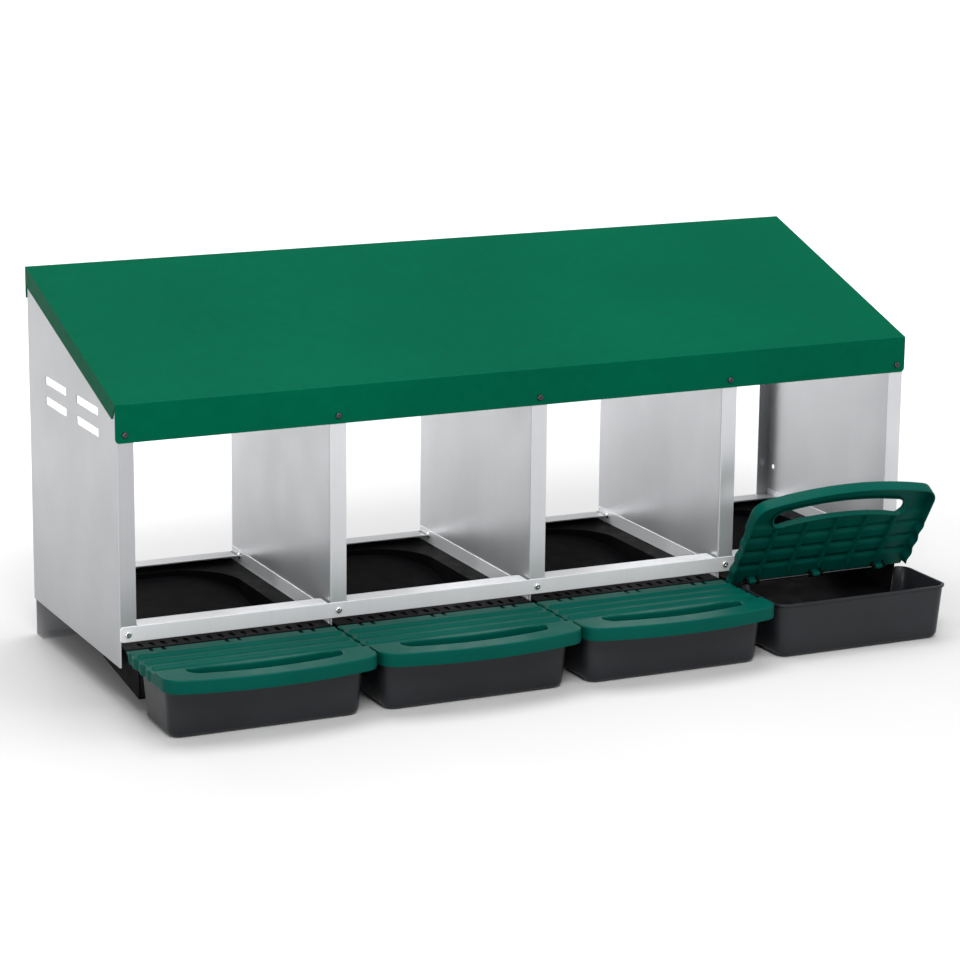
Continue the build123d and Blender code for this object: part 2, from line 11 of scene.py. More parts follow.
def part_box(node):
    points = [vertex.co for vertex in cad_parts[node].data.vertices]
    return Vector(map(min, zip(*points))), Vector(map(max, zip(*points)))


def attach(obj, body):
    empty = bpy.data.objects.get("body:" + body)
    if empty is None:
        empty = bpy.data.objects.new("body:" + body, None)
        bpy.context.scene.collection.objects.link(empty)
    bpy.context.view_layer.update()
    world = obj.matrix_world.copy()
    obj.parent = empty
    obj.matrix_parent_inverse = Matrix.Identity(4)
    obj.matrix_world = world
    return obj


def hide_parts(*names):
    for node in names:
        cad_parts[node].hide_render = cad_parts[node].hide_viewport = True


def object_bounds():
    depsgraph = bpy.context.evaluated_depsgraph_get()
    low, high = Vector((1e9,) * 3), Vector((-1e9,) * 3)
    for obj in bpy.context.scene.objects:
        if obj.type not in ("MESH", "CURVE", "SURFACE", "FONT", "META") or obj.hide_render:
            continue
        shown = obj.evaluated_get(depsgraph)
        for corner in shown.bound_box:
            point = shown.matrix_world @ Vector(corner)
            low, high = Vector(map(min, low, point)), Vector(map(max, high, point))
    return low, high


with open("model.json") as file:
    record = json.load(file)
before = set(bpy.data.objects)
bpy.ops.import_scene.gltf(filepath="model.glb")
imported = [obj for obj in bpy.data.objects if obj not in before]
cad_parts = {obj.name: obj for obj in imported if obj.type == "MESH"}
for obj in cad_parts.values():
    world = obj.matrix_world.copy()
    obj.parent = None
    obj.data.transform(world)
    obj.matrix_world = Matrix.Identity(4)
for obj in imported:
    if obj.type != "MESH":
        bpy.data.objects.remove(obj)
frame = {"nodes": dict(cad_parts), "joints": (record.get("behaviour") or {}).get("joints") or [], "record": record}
cad_low, cad_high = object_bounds()
NODES = frame["nodes"]

# ------------------------------------------------------------------ materials

MIDDLE_BAND = (0.3, 0.7)  # a noise value's usual spread, over which colours run


def shader_tree(name):
    """A new material, its principled shader and its node tree."""
    material = bpy.data.materials.new(name)
    material.use_nodes = True
    tree = material.node_tree
    return material, tree.nodes["Principled BSDF"], tree


def place(tree, scale=(1, 1, 1)):
    """Object coordinates in metres, stretched by scale."""
    coordinates = tree.nodes.new("ShaderNodeTexCoord")
    mapping = tree.nodes.new("ShaderNodeMapping")
    mapping.inputs["Scale"].default_value = scale
    tree.links.new(coordinates.outputs["Object"], mapping.inputs["Vector"])
    return mapping.outputs["Vector"]


def noise(tree, vector, scale, detail=3.0, roughness=0.5):
    node = tree.nodes.new("ShaderNodeTexNoise")
    node.inputs["Scale"].default_value = scale
    node.inputs["Detail"].default_value = detail
    node.inputs["Roughness"].default_value = roughness
    tree.links.new(vector, node.inputs["Vector"])
    return node.outputs["Fac"]


def cells(tree, vector, scale, output="Color"):
    node = tree.nodes.new("ShaderNodeTexVoronoi")
    node.inputs["Scale"].default_value = scale
    tree.links.new(vector, node.inputs["Vector"])
    return node.outputs[output]


def ramp(tree, value, low, high, start=0.0, end=1.0):
    """A colour or grey between low and high as value goes from start to end."""
    node = tree.nodes.new("ShaderNodeValToRGB")
    colours = [(c, c, c, 1) if isinstance(c, float) else (*c, 1) for c in (low, high)]
    node.color_ramp.elements[0].position = start
    node.color_ramp.elements[1].position = end
    node.color_ramp.elements[0].color = colours[0]
    node.color_ramp.elements[1].color = colours[1]
    tree.links.new(value, node.inputs["Fac"])
    return node.outputs["Color"]


def mix(tree, a, b, factor, blend="MIX"):
    node = tree.nodes.new("ShaderNodeMix")
    node.data_type = "RGBA"
    node.blend_type = blend
    if isinstance(factor, float):
        node.inputs["Factor"].default_value = factor
    else:
        tree.links.new(factor, node.inputs["Factor"])
    tree.links.new(a, node.inputs["A"])
    tree.links.new(b, node.inputs["B"])
    return node.outputs["Result"]


def bump(tree, shader, height, strength, distance):
    node = tree.nodes.new("ShaderNodeBump")
    node.inputs["Strength"].default_value = strength
    node.inputs["Distance"].default_value = distance
    tree.links.new(height, node.inputs["Height"])
    tree.links.new(node.outputs["Normal"], shader.inputs["Normal"])


def powder_coat(name, dark, light):
    """Green roof paint: fine orange peel, faint blotches and a soft gloss."""
    material, shader, tree = shader_tree(name)
    vector = place(tree)
    broad = noise(tree, vector, 3.0, 2.0)
    fine = noise(tree, vector, 60.0, 4.0)
    colour = ramp(tree, broad, dark, light, *MIDDLE_BAND)
    speck = ramp(tree, fine, 0.93, 1.0, 0.3, 0.6)
    painted = mix(tree, colour, speck, 1.0, "MULTIPLY")
    tree.links.new(painted, shader.inputs["Base Color"])
    rough = ramp(tree, fine, 0.36, 0.46, 0.35, 0.65)
    tree.links.new(rough, shader.inputs["Roughness"])
    shader.inputs["Specular IOR Level"].default_value = 0.008
    orange_peel = noise(tree, vector, 900.0, 2.0)
    bump(tree, shader, orange_peel, 0.12, 0.0003)
    return material


def moulded(name, dark, light, rough_range, specular=0.25):
    """Moulded plastic: satin, with a fine grain and slight tone changes."""
    material, shader, tree = shader_tree(name)
    vector = place(tree)
    broad = noise(tree, vector, 9.0, 3.0)
    colour = ramp(tree, broad, dark, light, *MIDDLE_BAND)
    tree.links.new(colour, shader.inputs["Base Color"])
    patches = noise(tree, vector, 45.0, 3.0)
    rough = ramp(tree, patches, *rough_range, *MIDDLE_BAND)
    tree.links.new(rough, shader.inputs["Roughness"])
    shader.inputs["Specular IOR Level"].default_value = specular
    grain = noise(tree, vector, 420.0, 2.0)
    bump(tree, shader, grain, 0.06, 0.0002)
    return material


def galvanised(name, dark, light, metallic=0.6):
    """Galvanised sheet: small spangle, rolling lines and a soft sheen."""
    material, shader, tree = shader_tree(name)
    vector = place(tree)
    spangle = cells(tree, vector, 90.0)
    tone = ramp(tree, spangle, 0.985, 1.0)
    broad = ramp(tree, noise(tree, vector, 4.0, 3.0), dark, light, *MIDDLE_BAND)
    lines = noise(tree, place(tree, (900, 900, 6)), 1.0, 2.0)
    rolled = ramp(tree, lines, 0.97, 1.0, *MIDDLE_BAND)
    colour = mix(tree, broad, tone, 1.0, "MULTIPLY")
    colour = mix(tree, colour, rolled, 1.0, "MULTIPLY")
    tree.links.new(colour, shader.inputs["Base Color"])
    smear = noise(tree, vector, 14.0, 2.0)
    rough = ramp(tree, smear, 0.32, 0.38, *MIDDLE_BAND)
    tree.links.new(rough, shader.inputs["Roughness"])
    shader.inputs["Metallic"].default_value = metallic
    waviness = noise(tree, vector, 6.0)
    bump(tree, shader, waviness, 0.04, 0.002)
    return material


def plated(name, dark, light, rough_range):
    """Plated steel of screws, nuts and rods."""
    material, shader, tree = shader_tree(name)
    vector = place(tree)
    fine = noise(tree, vector, 700.0, 3.0)
    colour = ramp(tree, fine, dark, light, *MIDDLE_BAND)
    tree.links.new(colour, shader.inputs["Base Color"])
    tree.links.new(ramp(tree, fine, *rough_range), shader.inputs["Roughness"])
    shader.inputs["Metallic"].default_value = 1.0
    grain = noise(tree, vector, 2500.0, 2.0)
    bump(tree, shader, grain, 0.08, 0.0001)
    return material


# Each finish has a darker and a lighter colour, then what sets its sheen.
MATERIALS = {
    "green_steel": powder_coat("roof_paint", (0.0, 0.066, 0.033), (0.0, 0.076, 0.038)),
    "green_plastic": moulded(
        "lid_plastic", (0.0, 0.050, 0.038), (0.0005, 0.060, 0.045), (0.34, 0.42), specular=0.035
    ),
    "black_plastic": moulded(
        "tray_plastic", (0.010, 0.011, 0.013), (0.015, 0.016, 0.019), (0.32, 0.38)
    ),
    "galvanised_steel": galvanised(
        "galvanised_sheet", (0.50, 0.505, 0.522), (0.57, 0.575, 0.592)
    ),
    "bright_steel": plated("zinc_plate", (0.62, 0.62, 0.62), (0.78, 0.78, 0.77), (0.16, 0.28)),
    "dark_steel": plated("black_zinc", (0.045, 0.043, 0.045), (0.08, 0.075, 0.08), (0.22, 0.34)),
}
# Some sheets and mouldings take a copy of their slot's material, lighter as painted light or darker as painted
# shade.
# Painted shade: a darker copy of the galvanised sheet for the left side panel.
SHADED_LEFT_SHEET = galvanised("left_sheet_painted_shade", (0.34, 0.345, 0.358), (0.385, 0.39, 0.404))
# Painted shade: a darker copy of the black plastic for the nest trays' shaded hollows.
SHADED_NEST_PLASTIC = moulded(
    "nest_plastic_painted_shade", (0.0030, 0.0030, 0.0035), (0.005, 0.005, 0.006), (0.42, 0.55), specular=0.01
)
# Painted light: a lighter, less metallic copy of the galvanised sheet for the front rails.
LIT_RAIL_ZINC = galvanised("rail_zinc_painted_light", (0.60, 0.605, 0.622), (0.67, 0.675, 0.69), metallic=0.25)
# Painted light: a lighter copy of the galvanised sheet for the tray angles, which lie in the roof's shadow.
LIT_ANGLE_ZINC = galvanised("angle_zinc_painted_light", (0.78, 0.785, 0.80), (0.84, 0.845, 0.86), metallic=0.2)
PAINTED_LIGHT_AND_SHADE_COPIES = {
    "side_panel_left": SHADED_LEFT_SHEET,
    "nest_tray": SHADED_NEST_PLASTIC,
    "front_rail": LIT_RAIL_ZINC,
    "tray_angle": LIT_ANGLE_ZINC,
}


def finish_cad_nodes():
    """Every CAD node takes its slot's material, or a copy of it made lighter as painted light or darker as painted
    shade.

    The screws and nuts share their rails' and angles' names, but stay zinc plated.
    """
    for part in frame["record"]["subparts"]:
        node = NODES[part["node"]]
        node.data.materials.clear()
        finish = MATERIALS[part["material_slot"]]
        # A few nodes take a lighter copy as painted light or a darker copy as painted shade.
        for start, painted_copy in PAINTED_LIGHT_AND_SHADE_COPIES.items():
            if part["node"].startswith(start) and part["material_slot"] != "bright_steel":
                finish = painted_copy
        node.data.materials.append(finish)


# ------------------------------------------------------------------ mesh helpers

MM = 0.001
WELD = 0.02 * MM
SHARP_ANGLE = math.radians(40)


def smooth_step(value):
    value = min(1.0, max(0.0, value))
    return value * value * (3 - 2 * value)


def swell(distance, reach):
    """1 at distance 0, falling along a cosine to 0 at reach."""
    if distance >= reach:
        return 0.0
    return 0.5 * (1 + math.cos(math.pi * distance / reach))


def outward(points, k, closed):
    """The unit normal of a path in the plane at point k, to the path's right."""
    count = len(points)
    before = points[(k - 1) % count] if closed or k > 0 else points[k]
    after = points[(k + 1) % count] if closed or k < count - 1 else points[k]
    dx, dy = after[0] - before[0], after[1] - before[1]
    length = math.hypot(dx, dy) or 1.0
    return dy / length, -dx / length


def finished_mesh(name, mesh_data, open_sheet=False):
    """A mesh object from a bmesh, shaded smooth except at sharp edges.

    An open sheet is turned so that its highest face looks up.
    """
    mesh = bpy.data.meshes.new(name)
    bmesh.ops.remove_doubles(mesh_data, verts=mesh_data.verts, dist=WELD)
    loose = [v for v in mesh_data.verts if not v.link_faces]
    bmesh.ops.delete(mesh_data, geom=loose, context="VERTS")
    bmesh.ops.recalc_face_normals(mesh_data, faces=mesh_data.faces)
    highest = max(mesh_data.faces, key=lambda face: face.calc_center_median().z)
    if open_sheet and highest.normal.z < 0:
        bmesh.ops.reverse_faces(mesh_data, faces=mesh_data.faces)
    mesh_data.to_mesh(mesh)
    mesh_data.free()
    piece = bpy.data.objects.new(name, mesh)
    bpy.context.scene.collection.objects.link(piece)
    mesh.shade_smooth()
    mesh.set_sharp_from_angle(angle=SHARP_ANGLE)
    return piece


def strip(mesh_data, lower, upper, closed=False):
    """Quads between two rows of vertices."""
    count = len(lower) if closed else len(lower) - 1
    for k in range(count):
        n = (k + 1) % len(lower)
        quad = (lower[k], lower[n], upper[n], upper[k])
        if len(set(quad)) == 4:
            mesh_data.faces.new(quad)


# ------------------------------------------------------------------ egg tray lids
# Lid coordinates in millimetres: x from the lid's middle, u forwards from the hinge
# axis, h above the axis.

LID_BACK = -4.5
LID_HALF = 148.4
LOBES = (-1.4, 2.8)  # the sides draw in between the ribs and swell at them
LOBE_REACH = 14.0
LOBES_FROM, LOBES_TO = 6.0, 93.0
LOBES_FADE = 8.0
SHEET = 2.0
PLATE = 6.8
CREST = 3.8  # how far the ribs and the deck stand above the plate
RIBS = (28.0, 56.0, 84.0)
RIB_REACH = 8.5
RIB_END = 143.6
RIB_END_PINCH = 2.0
DECK = (103.0, 110.0)
ROUND = 2.2
SKIRT_LOW = -8.0
SKIRT_FROM, SKIRT_FULL = 2.0, 7.0  # the skirt comes down between these
SKIRT_TUCK = 0.3
SLOT_END = 96.0
SLOT_MIDDLE = 133.0
SLOT_RADIUS = 15.7
SLOT_LOW = 4.8
SLOT_REAR_LOW = 0.0  # the slot's rear wall reaches deeper
FRONT_MIDDLE = 174.8
CORNER = (124.6, 136.0)
CORNER_RADIUS = 23.8
CORNER_TURN = math.radians(77)
BOW = 0.00108  # the front curves back by this, times x squared
BOW_START = 60.0
NOTCH_DEPTH = 6.5
KNUCKLES = (-108.0, 0.0, 108.0)
MIDDLE_COLUMNS = (0.0, 6.0, 11.5, 22.0, 34.0, 46.0, 58.0, 70.0, 83.0, 96.0)
SIDE_COLUMNS = (102.0, 108.0, 114.0, 119.5, 125.0, 130.0, 134.0, 137.0, 139.5)
EDGE_COLUMNS = (141.5, 143.2, 144.7, 146.0, 147.3, LID_HALF)
NOTCHES = ((6.0, 11.5), (96.0, 102.0), (114.0, 119.5))
BACK_ROWS = (LID_BACK, -2.0, 1.0, 4.0, NOTCH_DEPTH)
PLATE_ROWS, SLOT_ROWS, FRONT_ROWS = 74, 20, 18

WEBS = (-100.0, -50.0, 0.0, 50.0, 100.0)
WEB_HALF = 0.9
WEB_FLARE = 0.3
WEB_CHAMFER = (0.4, 0.5)
WEB_LOW = -1.4
WEB_FROM = 14.0
WEB_SHORT = 6.0  # the outer webs end this much before the slot
WEB_SECTIONS = 46

KNUCKLE_RADIUS = 3.9
KNUCKLE_BORE = 1.6
KNUCKLE_HALF = 5.8
KNUCKLE_CHAMFER = 0.5
KNUCKLE_SIDES = 36
LUMP_SIZE = (11.2, 6.4, 3.6)
LUMP_AT = (0.2, 4.2)


def lid_height(x, u):
    """The lid's top surface: three soft ribs and a raised front deck."""
    rise = smooth_step((u - DECK[0]) / (DECK[1] - DECK[0]))
    for rib in RIBS:
        past_end = RIB_END_PINCH * max(0.0, abs(x) - RIB_END)
        rise = max(rise, swell(math.hypot(past_end, u - rib), RIB_REACH))
    return PLATE + CREST * rise


def side_half(u):
    """Half the lid's width, which follows the ribs' ends."""
    plain = 1 - smooth_step((u - LOBES_FROM) / LOBES_FADE)
    plain += smooth_step((u - LOBES_TO) / LOBES_FADE)
    rise = max(swell(abs(u - rib), LOBE_REACH) for rib in RIBS)
    return LID_HALF + LOBES[0] + LOBES[1] * max(rise, 0.5 * plain)


def lid_rows():
    """Rows across the lid: the middle's u, and the end's x and u."""
    rows = [(u, LID_HALF, u) for u in BACK_ROWS]
    rear = SLOT_MIDDLE - SLOT_RADIUS
    for k in range(1, PLATE_ROWS + 1):
        u = NOTCH_DEPTH + (rear - NOTCH_DEPTH) * k / PLATE_ROWS
        bow = BOW * smooth_step((u - BOW_START) / (rear - BOW_START)) * LID_HALF**2
        rows.append((u, side_half(u - bow), u - bow))
    full_bow = BOW * LID_HALF**2
    for k in range(1, SLOT_ROWS + 1):
        u = rear - SLOT_RADIUS * (math.cos(math.pi * k / SLOT_ROWS) - 1)
        rows.append((u, LID_HALF, u - full_bow))
    start, end_side = rows[-1][0], rows[-1][2]
    straight = CORNER[1] - end_side
    arc = CORNER_RADIUS * CORNER_TURN
    for k in range(1, FRONT_ROWS + 1):
        share = k / FRONT_ROWS
        u = start + (FRONT_MIDDLE - start) * share
        along = share * (straight + arc)
        if along <= straight:
            rows.append((u, LID_HALF, end_side + along))
        else:
            turn = (along - straight) / CORNER_RADIUS
            x = CORNER[0] + CORNER_RADIUS * math.cos(turn)
            rows.append((u, x, CORNER[1] + CORNER_RADIUS * math.sin(turn)))
    return rows


def lid_columns():
    """The columns' places across the lid, from its left side to its right."""
    half = list(MIDDLE_COLUMNS) + list(SIDE_COLUMNS) + list(EDGE_COLUMNS)
    return [-x for x in half[:0:-1]] + half


def lid_grid(made, rows, columns, slot_rows):
    """The top's vertices, row by row, spread round the hand slot's ends."""
    grid = []
    for r, (middle, end_x, end_u) in enumerate(rows):
        bulge = 0.0
        if r in slot_rows:
            bulge = math.sqrt(max(0.0, SLOT_RADIUS**2 - (middle - SLOT_MIDDLE) ** 2))
        line = []
        for column in columns:
            size, side = abs(column), math.copysign(1, column)
            if size <= SLOT_END:
                x = size * (SLOT_END + bulge) / SLOT_END
            else:
                share = (size - SLOT_END) / (LID_HALF - SLOT_END)
                x = SLOT_END + bulge + (end_x - SLOT_END - bulge) * share
            u = middle - (middle - end_u) * (x / end_x) ** 2
            line.append(made.verts.new((side * x, u, lid_height(x, u))))
        grid.append(line)
    return grid


def lid_shell():
    """The lid's top, skirt and hand slot as one sheet, before it is thickened."""
    made = bmesh.new()
    rows, columns = lid_rows(), lid_columns()
    slot_rows = []
    for r, row in enumerate(rows):
        if abs(row[0] - SLOT_MIDDLE) <= SLOT_RADIUS + 0.01:
            slot_rows.append(r)
    grid = lid_grid(made, rows, columns, slot_rows)
    for r in range(len(rows) - 1):
        in_slot = r in slot_rows and r + 1 in slot_rows
        for c in range(len(columns) - 1):
            low, high = sorted((abs(columns[c]), abs(columns[c + 1])))
            cut = in_slot and high <= SLOT_END
            cut = cut or (rows[r + 1][0] <= NOTCH_DEPTH and (low, high) in NOTCHES)
            if not cut:
                quad = (grid[r][c], grid[r + 1][c], grid[r + 1][c + 1], grid[r][c + 1])
                made.faces.new(quad)
    left = [line[0] for line in grid]
    right = [line[-1] for line in grid]
    skirt(made, left + grid[-1][1:-1] + right[::-1])
    first, last = slot_rows[0], slot_rows[-1]
    inner = [k for k, column in enumerate(columns) if abs(column) <= SLOT_END]
    c0, c1 = inner[0], inner[-1]
    loop = [grid[first][c] for c in range(c0, c1 + 1)]
    loop += [grid[r][c1] for r in range(first + 1, last + 1)]
    loop += [grid[last][c] for c in range(c1 - 1, c0 - 1, -1)]
    loop += [grid[r][c0] for r in range(last - 1, first, -1)]
    slot_wall(made, loop)
    return made


def skirt(made, edge):
    """Rounds the lid's free edges over and drops them to the skirt's foot."""
    path = [(v.co.x, v.co.y) for v in edge]
    above = edge
    levels = [(math.radians(a), None) for a in (22.5, 45, 67.5, 90)]
    levels += [(math.pi / 2, share) for share in (0.35, 0.7, 0.93, 1.0)]
    for angle, share in levels:
        row = []
        for k, vertex in enumerate(edge):
            nx, ny = outward(path, k, False)
            reach = ROUND * math.sin(angle)
            h = vertex.co.z - ROUND * (1 - math.cos(angle))
            if share is not None:
                h += (SKIRT_LOW - h) * share
                reach -= SKIRT_TUCK if share == 1.0 else 0.0
            foot = smooth_step((vertex.co.y - SKIRT_FROM) / (SKIRT_FULL - SKIRT_FROM))
            h = h * foot + max(h, PLATE - ROUND) * (1 - foot)
            x, u = path[k]
            row.append(made.verts.new((x - nx * reach, u - ny * reach, h)))
        strip(made, above, row)
        above = row


def slot_wall(made, edge):
    """The hand slot's rounded rim and short wall."""
    path = [(v.co.x, v.co.y) for v in edge]
    above = edge
    for angle, low in ((22.5, 0), (45, 0), (67.5, 0), (90, 0), (90, 0.6), (90, 1)):
        turn = math.radians(angle)
        row = []
        for k, vertex in enumerate(edge):
            nx, ny = outward(path, k, True)
            reach = ROUND * math.sin(turn)
            h = vertex.co.z - ROUND * (1 - math.cos(turn))
            behind = SLOT_MIDDLE - BOW * vertex.co.x**2 - vertex.co.y
            foot = SLOT_LOW + (SLOT_REAR_LOW - SLOT_LOW) * smooth_step(0.5 + behind / 8.0)
            h += (foot - h) * low
            x, u = path[k]
            row.append(made.verts.new((x - nx * reach, u - ny * reach, h)))
        strip(made, above, row, closed=True)
        above = row


def lid_stiffener(made, x):
    """One thin web under the lid, which follows the ribs above it."""
    end = SLOT_MIDDLE - SLOT_RADIUS + ROUND - BOW * x * x
    end -= WEB_SHORT if abs(x) > SLOT_END else 0.0
    in_by, up_by = WEB_CHAMFER
    foot = ((-WEB_HALF, WEB_LOW + up_by), (-WEB_HALF + in_by, WEB_LOW))
    foot += ((WEB_HALF - in_by, WEB_LOW), (WEB_HALF, WEB_LOW + up_by))
    wide = WEB_HALF + WEB_FLARE
    sections = []
    for k in range(WEB_SECTIONS + 1):
        u = WEB_FROM + (end - WEB_FROM) * k / WEB_SECTIONS
        top = lid_height(x, u) - SHEET / 2
        corners = foot + ((wide, top), (-wide, top))
        sections.append([made.verts.new((x + dx, u, h)) for dx, h in corners])
    for a, b in zip(sections, sections[1:]):
        strip(made, a, b, closed=True)
    made.faces.new(sections[0])
    made.faces.new(sections[-1][::-1])


def lid_knuckle(made, x):
    """A hinge barrel with a web up to the lid's plate."""
    half, slim = KNUCKLE_HALF, KNUCKLE_RADIUS - KNUCKLE_CHAMFER
    profile = [(KNUCKLE_BORE, half), (slim, half), (KNUCKLE_RADIUS, half - KNUCKLE_CHAMFER)]
    profile += [(radius, -at) for radius, at in profile[::-1]]
    rings = []
    for radius, at in profile:
        ring = []
        for k in range(KNUCKLE_SIDES):
            turn = 2 * math.pi * k / KNUCKLE_SIDES
            spot = (x + at, radius * math.cos(turn), radius * math.sin(turn))
            ring.append(made.verts.new(spot))
        rings.append(ring)
    for a, b in zip(rings, rings[1:] + rings[:1]):
        strip(made, a, b, closed=True)
    wide, long, tall = LUMP_SIZE
    for v in bmesh.ops.create_cube(made, size=1.0)["verts"]:
        u, h = LUMP_AT[0] + v.co.y * long, LUMP_AT[1] + v.co.z * tall
        v.co = Vector((x + v.co.x * wide, u, h))


def lid_mesh():
    """One whole lid: the thickened sheet, its webs and its knuckles."""
    shell = finished_mesh("lid_sheet", lid_shell(), open_sheet=True)
    thick = shell.modifiers.new("thickness", "SOLIDIFY")
    thick.thickness = SHEET
    thick.offset = -1.0
    bpy.context.view_layer.update()
    graph = bpy.context.evaluated_depsgraph_get()
    made = bmesh.new()
    made.from_mesh(shell.evaluated_get(graph).data)
    bpy.data.objects.remove(shell)
    for x in WEBS:
        lid_stiffener(made, x)
    for x in KNUCKLES:
        lid_knuckle(made, x)
    return made


def lids():
    """A copy of the lid on each hinge, raised as far as its CAD lid is."""
    whole = lid_mesh()
    for joint in frame["joints"]:
        number = joint["child"].split("_")[-1]
        raised = math.radians(max(0.0, -joint["range_deg"][0]))
        turn = Matrix.Rotation(-raised, 4, "X")
        to_row = Matrix(((1, 0, 0, 0), (0, -1, 0, 0), (0, 0, 1, 0), (0, 0, 0, 1)))
        move = Matrix.Translation(joint["pos_m"]) @ turn @ to_row @ Matrix.Scale(MM, 4)
        copy = whole.copy()
        copy.transform(move)
        piece = finished_mesh(f"ribbed_lid_{number}", copy)
        piece.data.materials.append(MATERIALS["green_plastic"])
        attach(piece, joint["child"])
        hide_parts(f"egg_tray_lid_{number}")
    whole.free()


# ------------------------------------------------------------------ egg trays
# Tray coordinates in millimetres: x from the tray's middle, y backwards from the
# line of the posts' front faces, z up from the floor.

TRAY_TOP = 80.3
TRAY_WALL = 2.4
TRAY_CORNER = 17.0
TRAY_FLOOR_ROUND = 9.0
TRAY_BEAD = 2.4
GATE_TOP = 18.5
GATE_HALF = 116.0
GATE_EASE = 9.0
RIM_HALF, RIM_DEPTH = 140.5, 58.0
FOOT_HALF, FOOT_DEPTH = 134.5, 53.75
TRAY_MIDDLE = -107.0
HINGE_Y = -24.0
CORNER_STEPS, GATE_STEPS, SIDE_STEPS = 12, 56, 14
FLOOR_STEPS = 8


def tray_outline():
    """Points round the tray's rim and foot, with each one's outward normal."""
    points = []
    for cx, cy, start in ((1, 1, 0), (-1, 1, 90), (-1, -1, 180), (1, -1, 270)):
        for k in range(CORNER_STEPS + 1):
            turn = math.radians(start + 90 * k / CORNER_STEPS)
            points.append(((cx, cy), (math.cos(turn), math.sin(turn))))
    filled = []
    for k, point in enumerate(points):
        filled.append((point[0], point[1], 0.0, point[0]))
        following = points[(k + 1) % len(points)]
        if following[0] != point[0]:
            at_rear = point[0][1] == 1 and following[0][1] == 1
            count = GATE_STEPS if at_rear else SIDE_STEPS
            for n in range(1, count):
                filled.append((point[0], point[1], n / count, following[0]))
    return filled


def tray_point(spot, offset, z):
    """A point of the tilted wall at height z, moved outwards by offset."""
    corner, normal, share, following = spot
    level = z / TRAY_TOP
    half = FOOT_HALF + (RIM_HALF - FOOT_HALF) * level - TRAY_CORNER
    depth = FOOT_DEPTH + (RIM_DEPTH - FOOT_DEPTH) * level - TRAY_CORNER
    cx = corner[0] + (following[0] - corner[0]) * share
    cy = corner[1] + (following[1] - corner[1]) * share
    reach = TRAY_CORNER + offset
    return cx * half + normal[0] * reach, TRAY_MIDDLE + cy * depth + normal[1] * reach, z


def tray_wall_top(spot):
    """Full height, except along the low stretch of the rear wall."""
    x, _, _ = tray_point(spot, 0, TRAY_TOP)
    if spot[1][1] < 0.99 or spot[0][1] < 0:
        return TRAY_TOP, 1.0
    rise = smooth_step((abs(x) - GATE_HALF) / GATE_EASE)
    return GATE_TOP + (TRAY_TOP - GATE_TOP) * rise, rise


def tray_section(top, rim):
    """Offsets and heights from the outer floor edge over the rim to the inner floor."""
    r = TRAY_FLOOR_ROUND
    section = []
    for k in range(FLOOR_STEPS + 1):
        turn = math.radians(90 * k / FLOOR_STEPS)
        section.append((-r + r * math.sin(turn), r - r * math.cos(turn)))
    bead = TRAY_BEAD * rim
    for share in (0.33, 0.66):
        section.append((0.0, r + (top - 4.6 - r) * share))
    section += [(0.0, top - 4.6), (0.25 * bead, top - 4.0), (0.9 * bead, top - 3.4)]
    section += [(bead, top - 2.6), (bead, top - 1.2), (bead - 0.35 * rim, top - 0.35)]
    section += [(bead - 1.0 * rim, top), (-0.7, top), (-TRAY_WALL + 0.5, top - 0.3)]
    section += [(-TRAY_WALL, top - 1.0)]
    r -= TRAY_WALL
    for share in (0.66, 0.33):
        rise = (top - 1.0 - TRAY_WALL - r) * share
        section.append((-TRAY_WALL, TRAY_WALL + r + rise))
    for k in range(FLOOR_STEPS + 1):
        turn = math.radians(90 * k / FLOOR_STEPS)
        inwards, down = r - r * math.cos(turn), r * math.sin(turn)
        section.append((-TRAY_WALL - inwards, TRAY_WALL + r - down))
    return section


def tray_mesh():
    """One egg tray, closed all round, from its sections."""
    made = bmesh.new()
    columns = []
    for spot in tray_outline():
        top, rim = tray_wall_top(spot)
        section = tray_section(top, rim)
        columns.append([made.verts.new(tray_point(spot, off, z)) for off, z in section])
    for a, b in zip(columns, columns[1:] + columns[:1]):
        strip(made, a, b)
    made.faces.new([c[0] for c in columns])
    made.faces.new([c[-1] for c in columns][::-1])
    return made


def egg_trays():
    """A copy of the tray in place of each CAD tray."""
    whole = tray_mesh()
    for n in range(1, len(frame["joints"]) + 1):
        low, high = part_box(f"egg_tray_{n}")
        hinge = frame["joints"][n - 1]["pos_m"]
        middle = Vector(((low.x + high.x) / 2, hinge[1] - HINGE_Y * MM, low.z))
        copy = whole.copy()
        copy.transform(Matrix.Translation(middle) @ Matrix.Scale(MM, 4))
        piece = finished_mesh(f"moulded_tray_{n}", copy)
        piece.data.materials.append(MATERIALS["black_plastic"])
        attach(piece, "house")
        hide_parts(f"egg_tray_{n}")
    whole.free()


# ------------------------------------------------------------------ studio

FLOOR_SIZE = 60.0
FLOOR_DROP = 0.0005
FLOOR_TONES = (0.50, 0.52)
FLOOR_LIT = (0.7, 2.6)  # metres from the middle, over which the floor turns to plain white
FLOOR_GLOW = 0.80
SKY_STRENGTH = 0.6
LIGHT_AIM = Vector((0, 0, 0.25))
LIGHTS = (  # name, place, size, power
    ("key_light", (-1.0, -3.2, 3.4), 1.8, 150),
    ("fill_light", (3.0, -2.4, 2.4), 2.0, 40),
    ("top_light", (0.3, 0.6, 3.6), 2.4, 110),
    ("back_light", (-0.5, 1.7, 0.7), 0.8, 14),
    ("strip_light", (-2.6, -1.5, 0.5), 1.0, 14),
)
STRIP_WIDTH = 0.15
CAMERA_PLACE = Vector((-1.9274, -3.9926, 1.3153))
CAMERA_AIM = Vector((0.416, 0.878, -0.2367)).normalized()
CAMERA_LENS = 119.5
CAMERA_SENSOR = 36.0
CAMERA_ROLL = math.radians(0.56)


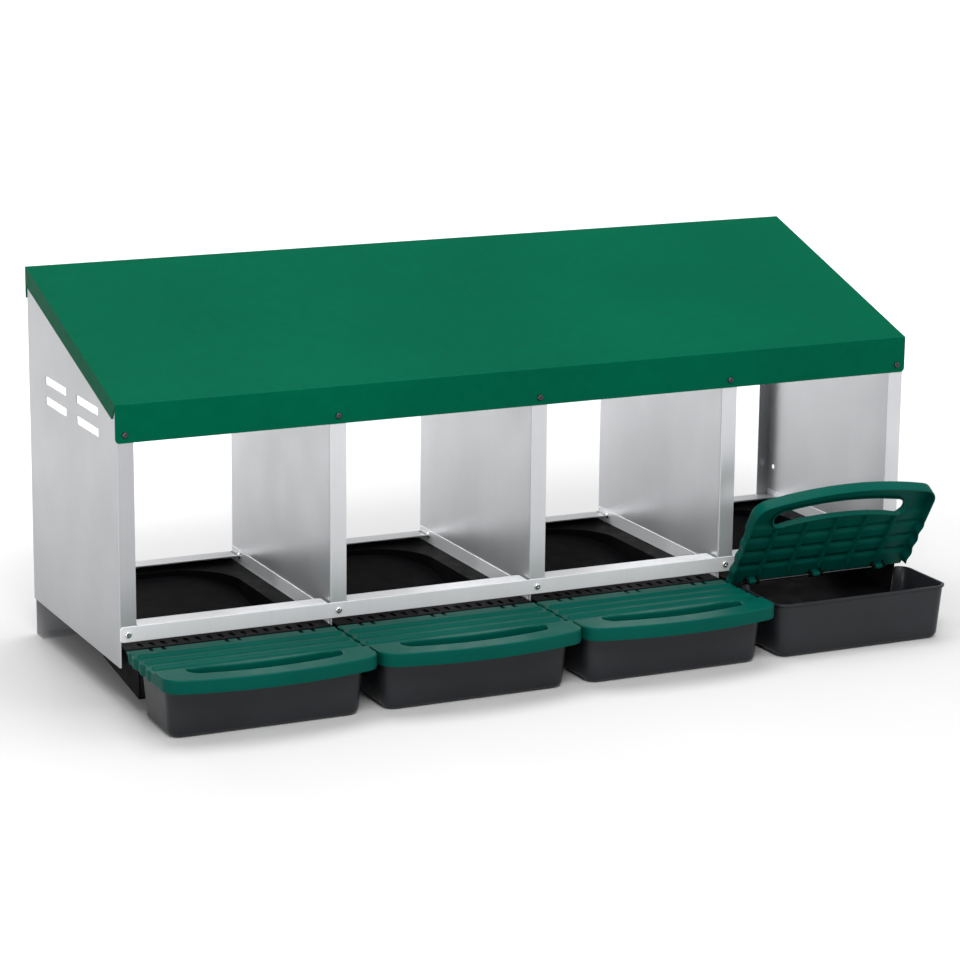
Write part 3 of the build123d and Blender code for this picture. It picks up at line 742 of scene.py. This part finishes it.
def studio_floor():
    """A pale floor that glows white away from the box."""
    place_at = (0, 0, cad_low.z - FLOOR_DROP)
    bpy.ops.mesh.primitive_plane_add(size=FLOOR_SIZE, location=place_at)
    floor = bpy.context.object
    floor.name = "studio_floor"
    material, shader, tree = shader_tree("floor_paint")
    vector = place(tree)
    tone = ramp(tree, noise(tree, vector, 0.6, 2.0), *FLOOR_TONES, *MIDDLE_BAND)
    tree.links.new(tone, shader.inputs["Base Color"])
    shader.inputs["Roughness"].default_value = 0.8
    shader.inputs["Specular IOR Level"].default_value = 0.1
    distance = tree.nodes.new("ShaderNodeVectorMath")
    distance.operation = "LENGTH"
    tree.links.new(vector, distance.inputs[0])
    far = tree.nodes.new("ShaderNodeMapRange")
    far.inputs["From Min"].default_value = FLOOR_LIT[0]
    far.inputs["From Max"].default_value = FLOOR_LIT[1]
    far.inputs["To Max"].default_value = FLOOR_GLOW
    far.interpolation_type = "SMOOTHSTEP"
    tree.links.new(distance.outputs["Value"], far.inputs["Value"])
    shader.inputs["Emission Color"].default_value = (1, 1, 1, 1)
    tree.links.new(far.outputs["Result"], shader.inputs["Emission Strength"])
    floor.data.materials.append(material)


def studio_light():
    """A white sky and five soft lights."""
    world = bpy.data.worlds.new("studio_sky")
    bpy.context.scene.world = world
    world.use_nodes = True
    sky = world.node_tree.nodes["Background"]
    sky.inputs["Color"].default_value = (1, 1, 1, 1)
    sky.inputs["Strength"].default_value = SKY_STRENGTH
    made = {light[0]: soft_light(*light) for light in LIGHTS}
    made["back_light"].visible_camera = False
    made["strip_light"].data.shape = "RECTANGLE"
    made["strip_light"].data.size = STRIP_WIDTH


def soft_light(name, place_at, size, power):
    """An area light that faces the box."""
    data = bpy.data.lights.new(name, "AREA")
    data.shape = "SQUARE"
    data.size = size
    data.energy = power
    light = bpy.data.objects.new(name, data)
    light.location = place_at
    aim = LIGHT_AIM - Vector(place_at)
    light.rotation_euler = aim.to_track_quat("-Z", "Y").to_euler()
    bpy.context.scene.collection.objects.link(light)
    return light


def photographer():
    """The camera, from the front and left."""
    data = bpy.data.cameras.new("camera")
    data.sensor_width = CAMERA_SENSOR
    data.lens = CAMERA_LENS
    camera = bpy.data.objects.new("camera", data)
    bpy.context.scene.collection.objects.link(camera)
    camera.location = CAMERA_PLACE
    look = CAMERA_AIM.to_track_quat("-Z", "Y").to_matrix()
    camera.rotation_euler = (look @ Matrix.Rotation(CAMERA_ROLL, 3, "Z")).to_euler()
    bpy.context.scene.camera = camera
    bpy.context.scene.view_settings.view_transform = "Standard"


finish_cad_nodes()
lids()
egg_trays()
studio_floor()
studio_light()
photographer()
